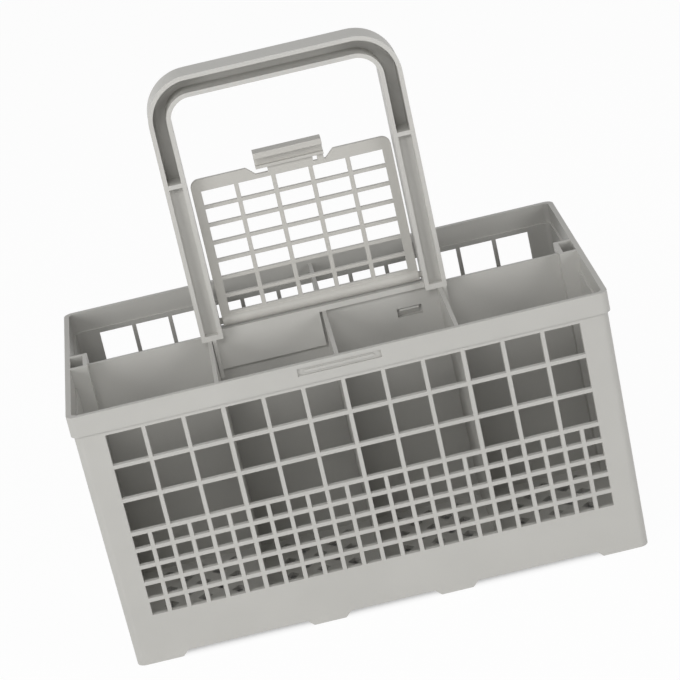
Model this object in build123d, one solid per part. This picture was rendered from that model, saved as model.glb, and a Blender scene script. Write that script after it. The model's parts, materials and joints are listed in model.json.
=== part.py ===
from build123d import *
import os

os.makedirs("parts", exist_ok=True)

# Cutlery basket, in millimetres: length along X, front towards -Y, feet on Z = 0.

# Basket outside
LENGTH = 240.0
WIDTH = 137.0
HEIGHT = 124.0
CORNER_R = 4.0
WALL = 2.2
TAPER = 1.2

# Rim band, stepped outwards from the wall
RIM_H = 9.5
RIM_STEP = 1.1
RIM_T = 2.4

# Windows of the long walls: coarse rows above fine rows
COARSE_COLUMNS = 12
COARSE_ROWS = 3
FINE_ROWS = 5
FIELD_SIDE = 13.6
FIELD_TOP = 1.3
FIELD_BOTTOM = 22.5
BAR = 1.9
BAR_DRAFT = 0.25

# Inside walls and floor
FLOOR_Z = 14.0
FLOOR_T = 2.0
INNER_T = 1.8
INNER_DROP = 2.5
DIVIDER_X = 53.5
HOLE_MARGIN = 4.0
HOLE_ROWS = 7
HOLE_FILL = 0.46

# Tube sockets at the middle of the end walls
SOCKET_REACH = 10.3
SOCKET_W = 17.2
SOCKET_T = 2.0

# Feet
FOOT_W = 21.0
FOOT_H = 2.7
TAB_X = 29.3
TAB_W = 14.6

# Catch recess in the rim
CATCH_W = 37.2
CATCH_H = 3.4
CATCH_DROP = 1.9
CATCH_DEPTH = 1.0
BEAD_W = 31.0
BEAD_H = 1.2
BEAD_T = 0.6

# Handle: its legs stand astride the outer dividers
HANDLE_RISE = 120.3
HANDLE_D = 16.0
LEG_OUT = 3.5
LEG_W = 10.0
GRIP_H = 8.6
BEND_R = 27.0
FLANGE_T = 2.0
WEB_T = 2.0
LEG_RECESS = 3.6
GRIP_RECESS = 12.0
STEP_DROP = 47.3

# Clip tongues and cheeks of the handle, either side of the centre wall and the dividers
TONGUE_H = 16.3
TONGUE_T = 1.8
TONGUE_GAP = 0.3
TONGUE_SIDE = 1.2
CHEEK_LONG = 18.5
CHEEK_SHORT = 10.0
CLIP_X = 38.3
CLIP_DROP = 10.3
CLIP_W = 11.4
CLIP_H = 4.2
CLIP_SIDE = 1.2
CLIP_GAP = 0.3

# Lid flap, hinged above the centre wall
BARREL_R = 2.6
BARREL_GAP = 0.5
PIN_R = 1.5
PIN_GAP = 0.4
LID_SIDE_GAP = 1.3
LID_T = 2.0
LID_REACH = 65.2
LID_CORNER = 4.0
LID_COLUMNS = 5
LID_ROWS = 7
LID_FRAME = 4.2
LID_TOP_RAIL = 5.7
LID_FOOT_RAIL = 4.2
LID_BAR_X = 2.0
LID_BAR_Z = 1.5
NOTCH_W = 42.0
NOTCH_FOOT = 32.0
NOTCH_H = 3.7

# Latch of the lid: a hook that drops outside the rim, and a finger bar beyond it
LATCH_W = 31.0
LATCH_WEB = 20.6
LATCH_LEG = 15.2
LATCH_SLOT = 2.0
HOOK_GAP = 0.4
HOOK_T = 1.5
HOOK_D = 7.0
GROOVE_W = 2.2
FINGER_T = 3.2
FINGER_D = 6.0

# Sizes that follow from the ones above
RIM_Z = HEIGHT - RIM_H
INNER_TOP = HEIGHT - INNER_DROP
WALL_X = LENGTH / 2 - RIM_STEP
WALL_Y = WIDTH / 2 - RIM_STEP
FIELD_X = LENGTH / 2 - FIELD_SIDE
FIELD_Z = RIM_Z - FIELD_TOP
FINE_PITCH = (FIELD_Z - FIELD_BOTTOM) / (2 * COARSE_ROWS + FINE_ROWS)
COARSE_PITCH_X = 2 * FIELD_X / COARSE_COLUMNS
SOCKET_X = LENGTH / 2 - SOCKET_REACH
HANDLE_TOP = HEIGHT + HANDLE_RISE
HANDLE_X = DIVIDER_X + LEG_OUT
LEG_X = HANDLE_X - LEG_W
SHELF_Y = INNER_T / 2 + TONGUE_GAP + TONGUE_T
CLIP_Z = INNER_TOP - CLIP_DROP
GRIP_Z = HANDLE_TOP - GRIP_H
STEP_Z = HANDLE_TOP - STEP_DROP
HINGE_Z = HEIGHT + BARREL_GAP + BARREL_R
LID_X = LEG_X - LID_SIDE_GAP
HOOK_Z = WIDTH / 2 + HOOK_GAP
FINGER_Z = HOOK_Z + HOOK_T + GROOVE_W
LATCH_TOP = FINGER_Z + FINGER_T


def block(x0, x1, y0, y1, z0, z1):
    centre = Pos((x0 + x1) / 2, (y0 + y1) / 2, (z0 + z1) / 2)
    return centre * Box(x1 - x0, y1 - y0, z1 - z0)


def plate_y(sketch, y0, y1):
    """Sketch drawn in X and Z, given thickness along Y."""
    return extrude(Plane.XZ.offset(-y1) * sketch, y1 - y0)


def plate_x(sketch, x0, x1):
    """Sketch drawn in Y and Z, given thickness along X."""
    return extrude(Plane.YZ.offset(x0) * sketch, x1 - x0)


def outline(points):
    return make_face(Polyline(*points, close=True))


def well(inset, rim_inset):
    """Solid bounded by the tapered wall and the rim, moved in by the insets."""
    radius = CORNER_R - inset / 2
    foot_inset = inset + TAPER
    foot = RectangleRounded(2 * (WALL_X - foot_inset), 2 * (WALL_Y - foot_inset), radius)
    head = RectangleRounded(2 * (WALL_X - inset), 2 * (WALL_Y - inset), radius)
    wall = loft([foot.face(), (Pos(0, 0, RIM_Z) * head).face()], ruled=True)
    band = RectangleRounded(LENGTH - 2 * rim_inset, WIDTH - 2 * rim_inset, CORNER_R - rim_inset / 2)
    return wall + extrude(Pos(0, 0, RIM_Z) * band, RIM_H)


def window(width, height):
    """Cutter for one window, wider at the outer face by the draft."""
    near = WALL_Y - TAPER - 2 * WALL
    far = WALL_Y + 2 * RIM_STEP
    inner = Pos(0, near) * Rot(90) * Rectangle(width - BAR_DRAFT, height - BAR_DRAFT)
    outer = Pos(0, far) * Rot(90) * Rectangle(width + BAR_DRAFT, height + BAR_DRAFT)
    return loft([inner.face(), outer.face()], ruled=True)


def window_row(columns, pitch_x, height, z):
    cutter = window(pitch_x - BAR, height)
    start = -pitch_x * (columns - 1) / 2
    return [Pos(start + i * pitch_x, 0, z) * cutter for i in range(columns)]


def windows():
    """All windows of the back wall."""
    cutters = []
    for row in range(COARSE_ROWS):
        z = FIELD_Z - FINE_PITCH * (2 * row + 1)
        cutters += window_row(COARSE_COLUMNS, COARSE_PITCH_X, 2 * FINE_PITCH - BAR, z)
    for row in range(FINE_ROWS):
        z = FIELD_BOTTOM + FINE_PITCH * (row + 0.5)
        cutters += window_row(2 * COARSE_COLUMNS, COARSE_PITCH_X / 2, FINE_PITCH - BAR, z)
    return cutters


def floor_holes(x0, x1, y0, y1):
    """Diamond holes of one compartment, set in staggered rows."""
    pitch_x = (x1 - x0) / 3
    pitch_y = (y1 - y0) / HOLE_ROWS
    half_x = HOLE_FILL * pitch_x / 2
    half_y = HOLE_FILL * pitch_y
    diamond = outline([(half_x, 0), (0, half_y), (-half_x, 0), (0, -half_y)])
    cutter = extrude(Pos(0, 0, FLOOR_Z - 2 * FLOOR_T) * diamond, 3 * FLOOR_T)
    holes = []
    for row in range(HOLE_ROWS):
        count = 3 - row % 2
        y = y0 + pitch_y * (row + 0.5)
        start = (x0 + x1) / 2 - pitch_x * (count - 1) / 2
        holes += [Pos(start + i * pitch_x, y, 0) * cutter for i in range(count)]
    return holes


def floor_plate():
    plate = block(-LENGTH / 2, LENGTH / 2, -WIDTH / 2, WIDTH / 2, FLOOR_Z - FLOOR_T, FLOOR_Z)
    y0 = INNER_T / 2 + HOLE_MARGIN
    y1 = WALL_Y - TAPER - WALL - HOLE_MARGIN
    half = INNER_T / 2 + HOLE_MARGIN
    holes = floor_holes(half, DIVIDER_X - half, y0, y1)
    holes += floor_holes(DIVIDER_X + half, SOCKET_X - HOLE_MARGIN, y0, y1)
    quarter = Compound(holes)
    half_set = [quarter, mirror(quarter, Plane.XZ)]
    return plate - half_set - [mirror(part, Plane.YZ) for part in half_set]


def socket():
    """Three walls that make a tube with the end wall at +X."""
    half = SOCKET_W / 2
    z0 = FLOOR_Z - FLOOR_T
    tube = block(SOCKET_X, LENGTH / 2, -half, half, z0, HEIGHT)
    bore = block(SOCKET_X + SOCKET_T, LENGTH / 2, SOCKET_T - half, half - SOCKET_T, z0, HEIGHT)
    return tube - bore


def centre_wall():
    wall = block(-SOCKET_X - 1, SOCKET_X + 1, -INNER_T / 2, INNER_T / 2, FLOOR_Z - 1, INNER_TOP)
    slots = []
    for side in (-1, 1):
        x = side * CLIP_X
        z0 = CLIP_Z - CLIP_H / 2
        slots.append(block(x - CLIP_W / 2, x + CLIP_W / 2, -WALL, WALL, z0, z0 + CLIP_H))
    return wall - slots


def divider(x):
    return block(x - INNER_T / 2, x + INNER_T / 2, -WIDTH / 2, WIDTH / 2, FLOOR_Z - 1, INNER_TOP)


def foot_gap(x0, x1):
    """Cutter between two feet, open below, with sloped ends."""
    left = [(x0, -FOOT_H), (x0, 0), (x0 + FOOT_H, FOOT_H)]
    right = [(x1 - FOOT_H, FOOT_H), (x1, 0), (x1, -FOOT_H)]
    return outline(left + right)


def foot_gaps():
    side_x = WALL_X - TAPER - FOOT_W
    side_y = WALL_Y - TAPER - FOOT_W
    inner = TAB_X - TAB_W / 2
    outer = TAB_X + TAB_W / 2
    cuts = [plate_x(foot_gap(-side_y, side_y), -LENGTH, LENGTH)]
    for x0, x1 in ((-side_x, -outer), (-inner, inner), (outer, side_x)):
        cuts.append(plate_y(foot_gap(x0, x1), -WIDTH, WIDTH))
    return cuts


def catch():
    """Recess in the front rim with a bead along its upper half."""
    face = -WIDTH / 2
    top = HEIGHT - CATCH_DROP
    recess = block(-CATCH_W / 2, CATCH_W / 2, face - 1, face + CATCH_DEPTH, top - CATCH_H, top)
    bead_y = face + CATCH_DEPTH - BEAD_T
    bead = block(-BEAD_W / 2, BEAD_W / 2, bead_y, face + RIM_T, top - 2 * BEAD_H, top - BEAD_H)
    return recess - bead


def basket_body():
    inside = centre_wall() + floor_plate() + socket() + Rot(0, 0, 180) * socket()
    for x in (-DIVIDER_X, 0, DIVIDER_X):
        inside += divider(x)
    inside = inside & well(WALL / 2, RIM_T / 2)
    shell = well(0, 0) - well(WALL, RIM_T)
    back = windows()
    front = [Rot(0, 0, 180) * cutter for cutter in back]
    shell = shell - back - front
    body = shell + inside
    return body - foot_gaps() - catch() - Rot(0, 0, 180) * catch()


def arch(half, foot, top, radius):
    """Upright outline with the two upper corners rounded."""
    sheet = Pos(0, (foot + top) / 2) * Rectangle(2 * half, top - foot)
    return fillet(sheet.vertices().group_by(Axis.Y)[-1], radius)


def tongue():
    """Plate in front of the centre wall on the left, with a wedge that fills the wall's slot."""
    face = -INNER_T / 2 - TONGUE_GAP
    x0 = -DIVIDER_X + INNER_T / 2 + TONGUE_GAP
    x1 = -INNER_T / 2 - TONGUE_SIDE
    plate = block(x0, x1, -SHELF_Y, face, INNER_TOP - TONGUE_H, HEIGHT)
    z0 = CLIP_Z - CLIP_H / 2 + CLIP_GAP
    z1 = CLIP_Z + CLIP_H / 2 - CLIP_GAP
    tip = INNER_T / 2
    wedge = outline([(-SHELF_Y, z0), (face, z0), (tip, z1 - INNER_T / 2), (tip, z1), (-SHELF_Y, z1)])
    half = CLIP_W / 2 - CLIP_SIDE
    return plate + plate_x(wedge, -CLIP_X - half, half - CLIP_X)


def cheek(divider_x, length):
    """Rib down from the front of a leg, along the right face of a divider."""
    x = divider_x + INNER_T / 2 + TONGUE_GAP
    return block(x, x + TONGUE_T, -HANDLE_D / 2, -SHELF_Y, INNER_TOP - length, HEIGHT)


def handle():
    half = HANDLE_D / 2
    inner_r = BEND_R - LEG_W
    bow = arch(HANDLE_X, INNER_TOP, HANDLE_TOP, BEND_R) - arch(LEG_X, INNER_TOP - 1, GRIP_Z, inner_r)
    outer = arch(HANDLE_X - FLANGE_T, HEIGHT, HANDLE_TOP - FLANGE_T, BEND_R - FLANGE_T)
    channel = outer - arch(LEG_X + FLANGE_T, HEIGHT - 1, GRIP_Z + FLANGE_T, inner_r + FLANGE_T)
    above = Pos(0, STEP_Z + HANDLE_TOP / 2) * Rectangle(4 * HANDLE_X, HANDLE_TOP)
    below = Pos(0, STEP_Z - WEB_T - HANDLE_TOP / 2) * Rectangle(4 * HANDLE_X, HANDLE_TOP)
    body = plate_y(bow, -half, half)
    body -= plate_y(channel & below, -half, LEG_RECESS - half)
    body -= plate_y(channel & above, -half, GRIP_RECESS - half)
    body -= plate_y(channel & below, LEG_RECESS + WEB_T - half, half)
    body -= plate_y(channel & above, GRIP_RECESS + WEB_T - half, half)
    body += block(-LEG_X - 1, LEG_X + 1, -SHELF_Y, SHELF_Y, INNER_TOP, HEIGHT)
    clips = tongue() + cheek(-DIVIDER_X, CHEEK_LONG) + cheek(DIVIDER_X, CHEEK_SHORT)
    body += clips + Rot(0, 0, 180) * clips
    pin_hole = Rot(0, 90, 0) * Cylinder(PIN_R + PIN_GAP, 2 * (LEG_X + FLANGE_T + PIN_GAP))
    return body - Pos(0, 0, HINGE_Z) * pin_hole


def lid_sheet():
    """Outline of the raised lid above its hinge line, with windows, notch and latch web."""
    sheet = arch(LID_X, 0, LID_REACH, LID_CORNER)
    notch_z = LID_REACH - NOTCH_H
    top = NOTCH_W / 2
    foot = NOTCH_FOOT / 2
    sheet -= outline([(-foot, notch_z), (foot, notch_z), (top, LID_REACH + 1), (-top, LID_REACH + 1)])
    pitch_x = (2 * LID_X - 2 * LID_FRAME + LID_BAR_X) / LID_COLUMNS
    pitch_z = (LID_REACH - LID_TOP_RAIL - LID_FOOT_RAIL + LID_BAR_Z) / LID_ROWS
    centre_z = (LID_FOOT_RAIL + LID_REACH - LID_TOP_RAIL) / 2
    grid = GridLocations(pitch_x, pitch_z, LID_COLUMNS, LID_ROWS)
    opening = Rectangle(pitch_x - LID_BAR_X, pitch_z - LID_BAR_Z)
    sheet -= [Pos(0, centre_z) * spot * opening for spot in grid]
    left = -LATCH_WEB / 2
    web = outline([(left, notch_z - 1), (LATCH_LEG, notch_z - 1), (LATCH_LEG, HOOK_Z), (left, HOOK_Z)])
    slot_x = LATCH_WEB / 2
    slot_w = slot_x + LATCH_SLOT
    slot_z = HOOK_Z - LATCH_SLOT
    slot = outline([(slot_x, notch_z), (slot_w, notch_z), (slot_w, slot_z), (slot_x, slot_z)])
    return sheet + web - slot


def latch():
    """Hook and finger bar of channel section at the lid's free edge."""
    half = LATCH_W / 2
    back = LID_T / 2
    web = block(-half, half, -back, back, HOOK_Z - LATCH_SLOT, LATCH_TOP)
    hook = block(-half, half, -HOOK_D, back, HOOK_Z, HOOK_Z + HOOK_T)
    finger = block(-half, half, -FINGER_D, back, FINGER_Z, LATCH_TOP)
    return web + hook + finger


def lid():
    flap = plate_y(lid_sheet(), -LID_T / 2, LID_T / 2) + latch()
    flap += Rot(0, 90, 0) * Cylinder(BARREL_R, 2 * LID_X)
    flap += Rot(0, 90, 0) * Cylinder(PIN_R, 2 * (LEG_X + FLANGE_T))
    return Pos(0, 0, HINGE_Z) * flap


export_step(basket_body(), "parts/basket_body.step")
export_step(handle(), "parts/handle.step")
export_step(lid(), "parts/lid.step")
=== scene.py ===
import json
import math

import bmesh
import bpy
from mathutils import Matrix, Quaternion, Vector


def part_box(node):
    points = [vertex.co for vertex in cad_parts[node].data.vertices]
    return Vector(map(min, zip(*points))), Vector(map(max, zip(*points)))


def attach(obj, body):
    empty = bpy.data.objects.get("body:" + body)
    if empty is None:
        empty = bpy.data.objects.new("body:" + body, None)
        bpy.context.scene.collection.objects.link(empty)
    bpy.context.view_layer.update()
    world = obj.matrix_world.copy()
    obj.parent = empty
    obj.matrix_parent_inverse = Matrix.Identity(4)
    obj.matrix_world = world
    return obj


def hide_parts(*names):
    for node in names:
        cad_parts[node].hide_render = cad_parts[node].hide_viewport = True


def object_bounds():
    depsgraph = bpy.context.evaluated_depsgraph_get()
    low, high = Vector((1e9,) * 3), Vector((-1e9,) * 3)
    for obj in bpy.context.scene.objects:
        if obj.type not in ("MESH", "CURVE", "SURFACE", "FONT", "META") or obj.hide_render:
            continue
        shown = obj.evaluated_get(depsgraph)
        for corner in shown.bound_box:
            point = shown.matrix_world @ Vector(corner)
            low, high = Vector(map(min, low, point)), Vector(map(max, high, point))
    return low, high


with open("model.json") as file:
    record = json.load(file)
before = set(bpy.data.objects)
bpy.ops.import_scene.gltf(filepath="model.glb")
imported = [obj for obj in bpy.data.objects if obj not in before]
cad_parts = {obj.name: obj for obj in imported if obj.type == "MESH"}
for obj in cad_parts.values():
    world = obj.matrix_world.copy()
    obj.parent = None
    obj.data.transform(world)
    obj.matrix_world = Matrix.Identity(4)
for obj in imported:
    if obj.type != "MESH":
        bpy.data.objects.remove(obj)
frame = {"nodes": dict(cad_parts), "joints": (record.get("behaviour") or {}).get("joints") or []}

cad_low, cad_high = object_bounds()
handle_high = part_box("handle")[1]
hinge_z = frame["joints"][0]["pos_m"][2]

# Camera, fitted to the photograph's corners: metres and degrees, with its lens and sensor in millimetres
CAMERA_PLACE = Vector((-0.0253, -1.1177, 0.5266))
CAMERA_TURN = 1.517
CAMERA_DIP = 20.665
CAMERA_ROLL = -12.763
CAMERA_LENS = 138.3
SENSOR_WIDTH = 36.0
NEAREST = 0.05
FARTHEST = 50.0

# Edges of the mouldings: rounding and merging in metres, then the angles that sort the edges
BODY_ROUND = 0.00035
HANDLE_ROUND = 0.0005
LID_ROUND = 0.0003
ROUND_STEPS = 2
MERGE_REACH = 1e-6
FLAT_EDGE = math.radians(0.6)
SHARP_EDGE = math.radians(28)
SMOOTH_EDGE = math.radians(40)

# The handle's bow in the solid and in the photograph, in metres: radius of its bends, depth of its grip
SOLID_BEND = 0.027
PHOTO_BEND = 0.020
SOLID_GRIP = 0.0086
PHOTO_GRIP = 0.0098
LEG_WIDTH = 0.010
BEND_CUT = SOLID_BEND - PHOTO_BEND
BEND_SLACK = 1e-5

# Only the bow's outer flange is further than this from the middle of the outer bend
OUTER_REACH = 0.0245

# Middles of the bends: place across, then height in the solid and in the photograph
BEND_X = handle_high[0] - SOLID_BEND
OUTER_BEND = (handle_high[2] - SOLID_BEND, handle_high[2] - PHOTO_BEND)
INNER_BEND = (OUTER_BEND[0] - SOLID_GRIP + LEG_WIDTH, OUTER_BEND[1] - PHOTO_GRIP + LEG_WIDTH)

# Heights above the lid's hinge, in metres: in the solid, then in the photograph
SHEET_LEVELS = (
    (-0.0100, -0.0100),  # below the barrel
    (0.0026, 0.0026),  # top of the barrel
    (0.0042, 0.0037),  # foot of the lowest windows
    (0.0595, 0.0620),  # head of the highest windows
    (0.0652, 0.0677),  # top edge
)
LATCH_LEVELS = (
    (0.0615, 0.0640),  # foot of the notch
    (0.0669, 0.0663),  # foot of the latch's web
    (0.0689, 0.0667),  # lower face of the rib
    (0.0704, 0.0681),  # upper face of the rib
    (0.0726, 0.0723),  # lower face of the finger bar
    (0.0758, 0.0750),  # upper face of the finger bar
)

# The latch, in metres: just over half its width, and the height above the hinge that it starts from
LATCH_HALF = 0.0157
LATCH_FOOT = 0.0620

# Only the solid's hook reaches in front of this plane, in metres
HOOK_PLANE = -0.0065

# The photograph shows a shallow rib in the hook's place, with its front here
RIB_FRONT = -0.0026

# Grey plastic: linear colour, and roughness where the skin is smoothest
BODY_GREY = (0.480, 0.473, 0.448)
HANDLE_GREY = (0.525, 0.517, 0.490)
LID_GREY = (0.500, 0.488, 0.456)
BODY_ROUGHNESS = 0.40
HANDLE_ROUGHNESS = 0.36
LID_ROUGHNESS = 0.38
PLASTIC_IOR = 1.49

# Skin of the plastic: soft clouds of tone and roughness, and a fine grain with its depth in metres
CLOUD_SCALE = 22.0
CLOUD_DETAIL = 3.0
CLOUD_SPAN = (0.3, 0.7)
TONE_SPAN = (0.96, 1.03)
ROUGHNESS_SPREAD = 0.12
GRAIN_SCALE = 1400.0
GRAIN_DETAIL = 2.0
GRAIN_STRENGTH = 0.12
GRAIN_DEPTH = 0.0002

# Softboxes: place, aim and size in metres, then watts
LOW_AIM = (0.0, 0.0, 0.1)
SOFTBOXES = {
    "left_softbox": ((-1.35, -1.05, 0.55), LOW_AIM, (0.8, 0.9), 14.5),
    "right_softbox": ((1.35, -1.05, 0.55), LOW_AIM, (0.8, 0.9), 11.0),
    "front_softbox": ((-0.35, -1.3, 1.15), (0.0, 0.0, 0.15), (0.7, 0.5), 6.0),
    "top_softbox": ((-0.2, 0.1, 1.5), LOW_AIM, (1.0, 1.0), 3.0),
}
SKY_FILL = 0.27

# White paper: half its side and the shade's reach in metres, its tone, and the white that is seen
FLOOR_HALF = 6.0
SHADE_REACH = 0.014
PAPER_TONE = (0.85, 0.85, 0.85)
PAPER_WHITE = 0.96


def moulded_skin_group():
    """Tone, roughness and fine grain of satin moulded plastic."""
    group = bpy.data.node_groups.new("moulded_skin", "ShaderNodeTree")
    sockets = group.interface
    sockets.new_socket("Grey", in_out="INPUT", socket_type="NodeSocketColor")
    sockets.new_socket("Least Roughness", in_out="INPUT", socket_type="NodeSocketFloat")
    sockets.new_socket("Color", in_out="OUTPUT", socket_type="NodeSocketColor")
    sockets.new_socket("Roughness", in_out="OUTPUT", socket_type="NodeSocketFloat")
    sockets.new_socket("Height", in_out="OUTPUT", socket_type="NodeSocketFloat")
    nodes = group.nodes
    links = group.links
    given = nodes.new("NodeGroupInput")
    made = nodes.new("NodeGroupOutput")
    place = nodes.new("ShaderNodeTexCoord")

    cloud = nodes.new("ShaderNodeTexNoise")
    cloud.inputs["Scale"].default_value = CLOUD_SCALE
    cloud.inputs["Detail"].default_value = CLOUD_DETAIL
    links.new(place.outputs["Object"], cloud.inputs["Vector"])
    tone = nodes.new("ShaderNodeMapRange")
    tone.inputs["From Min"].default_value = CLOUD_SPAN[0]
    tone.inputs["From Max"].default_value = CLOUD_SPAN[1]
    tone.inputs["To Min"].default_value = TONE_SPAN[0]
    tone.inputs["To Max"].default_value = TONE_SPAN[1]
    links.new(cloud.outputs["Fac"], tone.inputs["Value"])
    shade = nodes.new("ShaderNodeVectorMath")
    shade.operation = "SCALE"
    links.new(given.outputs["Grey"], shade.inputs[0])
    links.new(tone.outputs["Result"], shade.inputs["Scale"])
    links.new(shade.outputs["Vector"], made.inputs["Color"])

    grain = nodes.new("ShaderNodeTexNoise")
    grain.inputs["Scale"].default_value = GRAIN_SCALE
    grain.inputs["Detail"].default_value = GRAIN_DETAIL
    links.new(place.outputs["Object"], grain.inputs["Vector"])
    links.new(grain.outputs["Fac"], made.inputs["Height"])

    rough = nodes.new("ShaderNodeMath")
    rough.operation = "MULTIPLY_ADD"
    rough.inputs[1].default_value = ROUGHNESS_SPREAD
    links.new(cloud.outputs["Fac"], rough.inputs[0])
    links.new(given.outputs["Least Roughness"], rough.inputs[2])
    links.new(rough.outputs["Value"], made.inputs["Roughness"])
    return group


def moulded_plastic(name, skin, grey, roughness):
    """One moulding's plastic, with its own grey and roughness on the shared skin."""
    material = bpy.data.materials.new(name)
    material.use_nodes = True
    nodes = material.node_tree.nodes
    links = material.node_tree.links
    shader = nodes["Principled BSDF"]
    shader.inputs["IOR"].default_value = PLASTIC_IOR
    finish = nodes.new("ShaderNodeGroup")
    finish.node_tree = skin
    finish.inputs["Grey"].default_value = (*grey, 1.0)
    finish.inputs["Least Roughness"].default_value = roughness
    bump = nodes.new("ShaderNodeBump")
    bump.inputs["Strength"].default_value = GRAIN_STRENGTH
    bump.inputs["Distance"].default_value = GRAIN_DEPTH
    links.new(finish.outputs["Color"], shader.inputs["Base Color"])
    links.new(finish.outputs["Roughness"], shader.inputs["Roughness"])
    links.new(finish.outputs["Height"], bump.inputs["Height"])
    links.new(bump.outputs["Normal"], shader.inputs["Normal"])
    return material


def tighten_bow(corners):
    """Gives the bow's bends the photograph's smaller radius and thicker grip."""
    for corner in corners:
        across = abs(corner.co.x) - BEND_X
        is_outer = math.hypot(across, corner.co.z - OUTER_BEND[0]) > OUTER_REACH
        solid_z, photo_z = OUTER_BEND if is_outer else INNER_BEND
        up = corner.co.z - solid_z
        if across < -BEND_SLACK or up < -BEND_SLACK:
            continue
        share = 1.0 - BEND_CUT / math.hypot(across, up)
        corner.co.x = math.copysign(BEND_X + BEND_CUT + across * share, corner.co.x)
        corner.co.z = photo_z + up * share


def photo_level(height, levels):
    """Height in the photograph of a height in the solid, in proportion between the given levels."""
    for (low, new_low), (high, new_high) in zip(levels, levels[1:]):
        if height <= high:
            break
    return new_low + (height - low) * (new_high - new_low) / (high - low)


def raise_lid(corners):
    """Moves the lid's rails, bars and latch to the photograph's heights, and makes its hook a shallow rib."""
    for corner in corners:
        height = corner.co.z - hinge_z
        in_latch = abs(corner.co.x) < LATCH_HALF and height > LATCH_FOOT
        corner.co.z = hinge_z + photo_level(height, LATCH_LEVELS if in_latch else SHEET_LEVELS)
        if corner.co.y < HOOK_PLANE:
            corner.co.y = RIB_FRONT


def moulding(node, name, body, material, radius, reshape=None):
    """Copy of a node with its triangles merged into faces and its edges rounded."""
    shape = bmesh.new()
    shape.from_mesh(frame["nodes"][node].data)
    bmesh.ops.remove_doubles(shape, verts=shape.verts, dist=MERGE_REACH)
    bmesh.ops.dissolve_limit(shape, angle_limit=FLAT_EDGE, verts=shape.verts, edges=shape.edges)
    if reshape:
        reshape(shape.verts)
    sharp = [edge for edge in shape.edges if edge.is_manifold and edge.calc_face_angle() > SHARP_EDGE]
    bmesh.ops.bevel(shape, geom=sharp, offset=radius, offset_type="OFFSET", affect="EDGES",
                    segments=ROUND_STEPS, profile=0.5, material=-1, clamp_overlap=True)
    mesh = bpy.data.meshes.new(name)
    shape.to_mesh(mesh)
    shape.free()
    mesh.shade_smooth()
    mesh.set_sharp_from_angle(angle=SMOOTH_EDGE)
    mesh.materials.append(material)
    piece = bpy.data.objects.new(name, mesh)
    bpy.context.scene.collection.objects.link(piece)
    even = piece.modifiers.new("even_faces", "WEIGHTED_NORMAL")
    even.keep_sharp = True
    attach(piece, body)
    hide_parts(node)


def seen_directly(nodes, links):
    """One for camera rays, reflections and rays through clear material, and zero for other light."""
    path = nodes.new("ShaderNodeLightPath")
    seen = nodes.new("ShaderNodeMath")
    seen.operation = "MAXIMUM"
    links.new(path.outputs["Is Camera Ray"], seen.inputs[0])
    links.new(path.outputs["Is Glossy Ray"], seen.inputs[1])
    clear = nodes.new("ShaderNodeMath")
    clear.operation = "MAXIMUM"
    links.new(seen.outputs["Value"], clear.inputs[0])
    links.new(path.outputs["Is Transmission Ray"], clear.inputs[1])
    return clear.outputs["Value"]


def beyond_basket(nodes, links):
    """Zero on the floor under the basket, rising to the paper's white at its outer edge."""
    place = nodes.new("ShaderNodeTexCoord")
    folded = nodes.new("ShaderNodeVectorMath")
    folded.operation = "ABSOLUTE"
    links.new(place.outputs["Object"], folded.inputs[0])
    past = nodes.new("ShaderNodeVectorMath")
    past.operation = "SUBTRACT"
    past.inputs[1].default_value = (cad_high[0] - SHADE_REACH, cad_high[1] - SHADE_REACH, 0.0)
    links.new(folded.outputs["Vector"], past.inputs[0])
    outside = nodes.new("ShaderNodeVectorMath")
    outside.operation = "MAXIMUM"
    links.new(past.outputs["Vector"], outside.inputs[0])
    away = nodes.new("ShaderNodeVectorMath")
    away.operation = "LENGTH"
    links.new(outside.outputs["Vector"], away.inputs[0])
    rise = nodes.new("ShaderNodeMapRange")
    rise.interpolation_type = "SMOOTHSTEP"
    rise.inputs["From Max"].default_value = SHADE_REACH
    rise.inputs["To Max"].default_value = PAPER_WHITE
    links.new(away.outputs["Value"], rise.inputs["Value"])
    return rise.outputs["Result"]


def studio_floor():
    """White paper that keeps the shadow under the basket."""
    shape = bmesh.new()
    bmesh.ops.create_grid(shape, x_segments=1, y_segments=1, size=FLOOR_HALF)
    mesh = bpy.data.meshes.new("studio_floor")
    shape.to_mesh(mesh)
    shape.free()
    floor = bpy.data.objects.new("studio_floor", mesh)
    bpy.context.scene.collection.objects.link(floor)
    material = bpy.data.materials.new("white_paper")
    material.use_nodes = True
    nodes = material.node_tree.nodes
    links = material.node_tree.links
    nodes.clear()
    paper = nodes.new("ShaderNodeBsdfDiffuse")
    paper.inputs["Color"].default_value = (*PAPER_TONE, 1.0)
    glow = nodes.new("ShaderNodeEmission")
    share = nodes.new("ShaderNodeMath")
    share.operation = "MULTIPLY"
    links.new(seen_directly(nodes, links), share.inputs[0])
    links.new(beyond_basket(nodes, links), share.inputs[1])
    mix = nodes.new("ShaderNodeMixShader")
    links.new(share.outputs["Value"], mix.inputs["Fac"])
    links.new(paper.outputs["BSDF"], mix.inputs[1])
    links.new(glow.outputs["Emission"], mix.inputs[2])
    output = nodes.new("ShaderNodeOutputMaterial")
    links.new(mix.outputs["Shader"], output.inputs["Surface"])
    mesh.materials.append(material)


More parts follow.
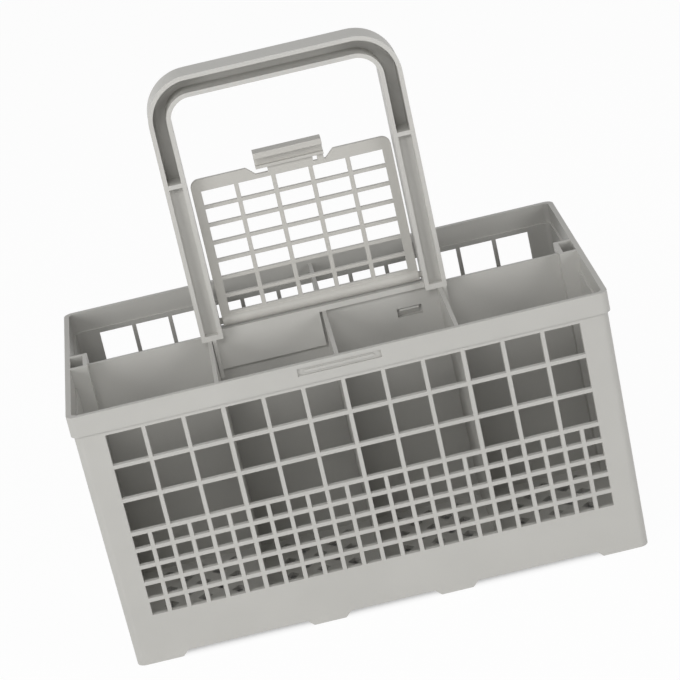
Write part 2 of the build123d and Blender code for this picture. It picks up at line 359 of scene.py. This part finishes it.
def studio_world():
    """Soft fill from all round, white where it is seen directly."""
    world = bpy.data.worlds.new("studio")
    bpy.context.scene.world = world
    world.use_nodes = True
    nodes = world.node_tree.nodes
    links = world.node_tree.links
    nodes.clear()
    fill = nodes.new("ShaderNodeBackground")
    fill.inputs["Strength"].default_value = SKY_FILL
    white = nodes.new("ShaderNodeBackground")
    mix = nodes.new("ShaderNodeMixShader")
    links.new(seen_directly(nodes, links), mix.inputs["Fac"])
    links.new(fill.outputs["Background"], mix.inputs[1])
    links.new(white.outputs["Background"], mix.inputs[2])
    output = nodes.new("ShaderNodeOutputWorld")
    links.new(mix.outputs["Shader"], output.inputs["Surface"])


def softbox(name, place, aim, size, power):
    """Rectangular lamp that points at its aim."""
    lamp = bpy.data.lights.new(name, "AREA")
    lamp.shape = "RECTANGLE"
    lamp.size, lamp.size_y = size
    lamp.energy = power
    box = bpy.data.objects.new(name, lamp)
    box.location = place
    box.rotation_mode = "QUATERNION"
    box.rotation_quaternion = (Vector(aim) - Vector(place)).to_track_quat("-Z", "Y")
    bpy.context.scene.collection.objects.link(box)


def photo_camera():
    """Camera at the photograph's place, turned, dipped and rolled as it was."""
    data = bpy.data.cameras.new("photo_camera")
    data.lens = CAMERA_LENS
    data.sensor_width = SENSOR_WIDTH
    data.clip_start = NEAREST
    data.clip_end = FARTHEST
    camera = bpy.data.objects.new("photo_camera", data)
    turn = math.radians(CAMERA_TURN)
    dip = math.radians(CAMERA_DIP)
    ahead = Vector((math.sin(turn) * math.cos(dip), math.cos(turn) * math.cos(dip), -math.sin(dip)))
    roll = Quaternion((0.0, 0.0, 1.0), math.radians(CAMERA_ROLL))
    camera.location = CAMERA_PLACE
    camera.rotation_mode = "QUATERNION"
    camera.rotation_quaternion = ahead.to_track_quat("-Z", "Y") @ roll
    bpy.context.scene.collection.objects.link(camera)
    bpy.context.scene.camera = camera


skin = moulded_skin_group()
body_grey = moulded_plastic("body_grey", skin, BODY_GREY, BODY_ROUGHNESS)
handle_grey = moulded_plastic("handle_grey", skin, HANDLE_GREY, HANDLE_ROUGHNESS)
lid_grey = moulded_plastic("lid_grey", skin, LID_GREY, LID_ROUGHNESS)

moulding("basket_body", "basket_moulding", "basket", body_grey, BODY_ROUND)
moulding("handle", "carrying_handle", "basket", handle_grey, HANDLE_ROUND, tighten_bow)
moulding("lid", "lid_flap", "lid", lid_grey, LID_ROUND, raise_lid)

photo_camera()
studio_floor()
studio_world()
for name, setting in SOFTBOXES.items():
    softbox(name, *setting)

bpy.context.scene.view_settings.view_transform = "Standard"
